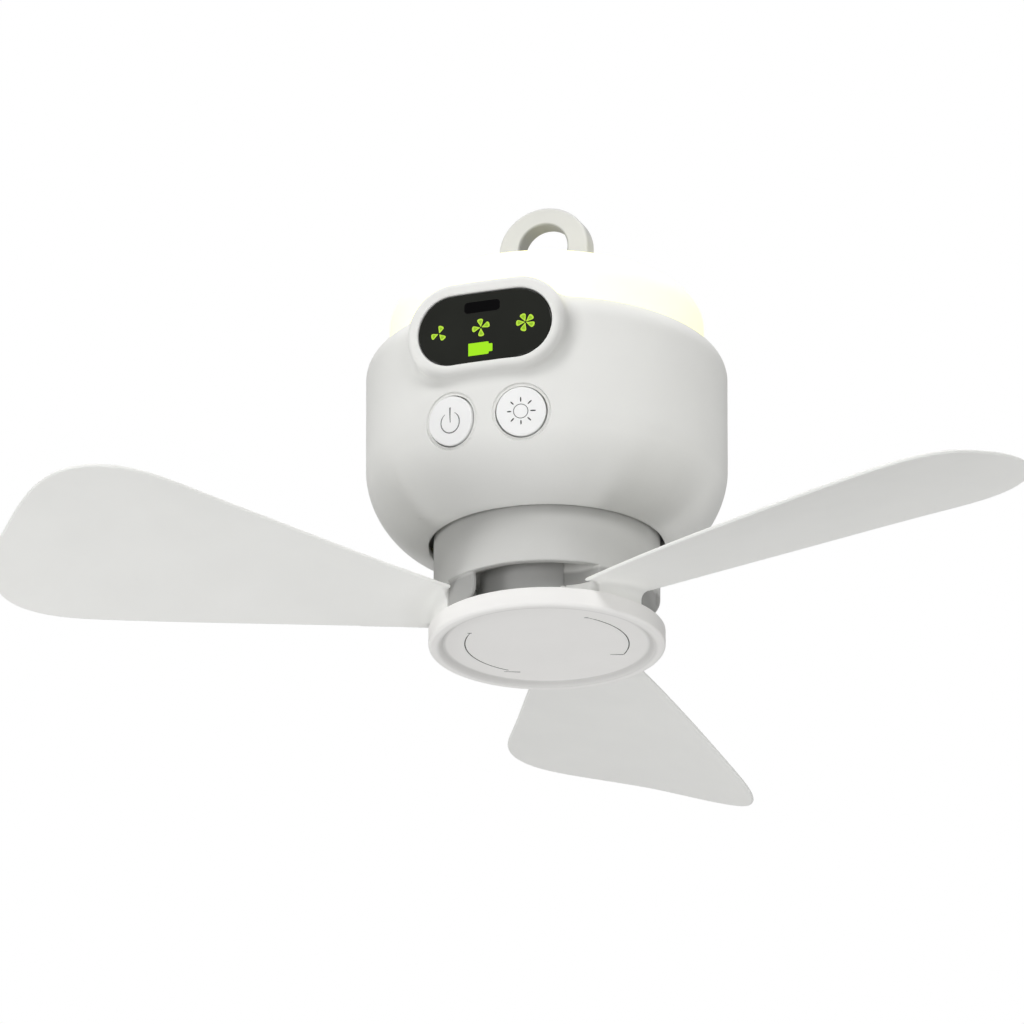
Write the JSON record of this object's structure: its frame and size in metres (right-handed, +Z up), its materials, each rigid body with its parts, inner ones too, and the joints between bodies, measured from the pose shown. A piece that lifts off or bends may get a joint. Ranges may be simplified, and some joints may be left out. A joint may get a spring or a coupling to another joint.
{
  "type": "portable camping fan",
  "caption": "Hanging battery camping fan and lantern: round body, lit dome with hanging eye, display and push buttons, paddle blades on a turning drum held by a twist-lock cap.",
  "frame": {"origin": "centre of the hanging eye's hole", "axes": "+Z up along the rotor's axis, -Y out of the display panel, +Y along the hanging eye's hole"},
  "size_m": [0.3562, 0.3414, 0.1624],
  "materials": {
    "white_shell": "satin moulded",
    "white_blade": "fine matt moulded",
    "dome": "translucent diffuser",
    "lens": "gloss smoked lens",
    "icons": "lit segments",
    "ir": "dark",
    "pcb": "solder mask",
    "pcb_white": "white solder mask",
    "led": "phosphor",
    "parts": "moulded components",
    "steel": "zinc plated",
    "bearing": "ground",
    "cell": "shrink sleeve on a steel cell",
    "nickel": "nickel strip",
    "grey_plastic": "moulded",
    "mount_plastic": "glass-filled nylon",
    "core": "laminated",
    "copper": "enamelled copper wire",
    "magnet": "ferrite",
    "lead": "insulated wire",
    "ribbon": "flat cable",
    "socket": "folded steel"
  },
  "bodies": {
    "housing": {"body_shell": "white_shell", "display_lens": "lens", "display_light_block": "icons", "ir_receiver": "ir", "display_board": "pcb", "button_board": "pcb", "tact_switches": "parts", "button_board_screws": "steel", "light_base": "white_shell", "led_board": "pcb_white", "led_chips": "led", "light_dome": "dome", "hanging_eye": "white_shell", "eye_screw": "steel", "light_base_screws": "steel", "battery_cells": "cell", "cell_tabs": "nickel", "battery_tray": "grey_plastic", "battery_cover": "grey_plastic", "battery_cover_screws": "steel", "main_board": "pcb", "main_board_screws": "steel", "board_components": "parts", "charging_socket": "socket", "motor_lead": "lead", "battery_leads": "lead", "light_lead": "lead", "display_ribbon": "ribbon", "motor_mount": "mount_plastic", "motor_mount_screws": "steel", "tray_screws": "steel", "bearing_upper": "bearing", "bearing_lower": "bearing", "stator_core": "core", "motor_windings": "copper"},
    "rotor": {"motor_shaft": "steel", "shaft_circlip": "steel", "rotor_can": "steel", "rotor_magnets": "magnet", "rotor_drum": "white_shell", "blade_hub": "white_shell", "rotor_screws": "steel", "blade_1": "white_blade", "blade_2": "white_blade", "blade_3": "white_blade"},
    "cap": {"lock_cap": "white_shell"},
    "power_key": {"power_button": "white_shell", "power_switch_plunger": "parts"},
    "light_key": {"light_button": "white_shell", "light_switch_plunger": "parts"}
  },
  "joints": [
    {"name": "rotor_spin", "type": "hinge", "parent": "housing", "child": "rotor", "pos_m": [0, 0, -0.12], "axis": [0, 0, 1], "continuous": true},
    {"name": "cap_twist", "type": "hinge", "parent": "rotor", "child": "cap", "pos_m": [0, 0, -0.144], "axis": [0, 0, 1], "range_deg": [0, 36]},
    {"name": "power_press", "type": "slide", "parent": "housing", "child": "power_key", "axis": [0.2153, 0.9709, 0.1045], "range_m": [0, 0.0006], "stiffness_N_per_m": 900, "springref_m": -0.0008},
    {"name": "light_press", "type": "slide", "parent": "housing", "child": "light_key", "axis": [-0.2, 0.9742, 0.1045], "range_m": [0, 0.0006], "stiffness_N_per_m": 900, "springref_m": -0.0008}
  ]
}
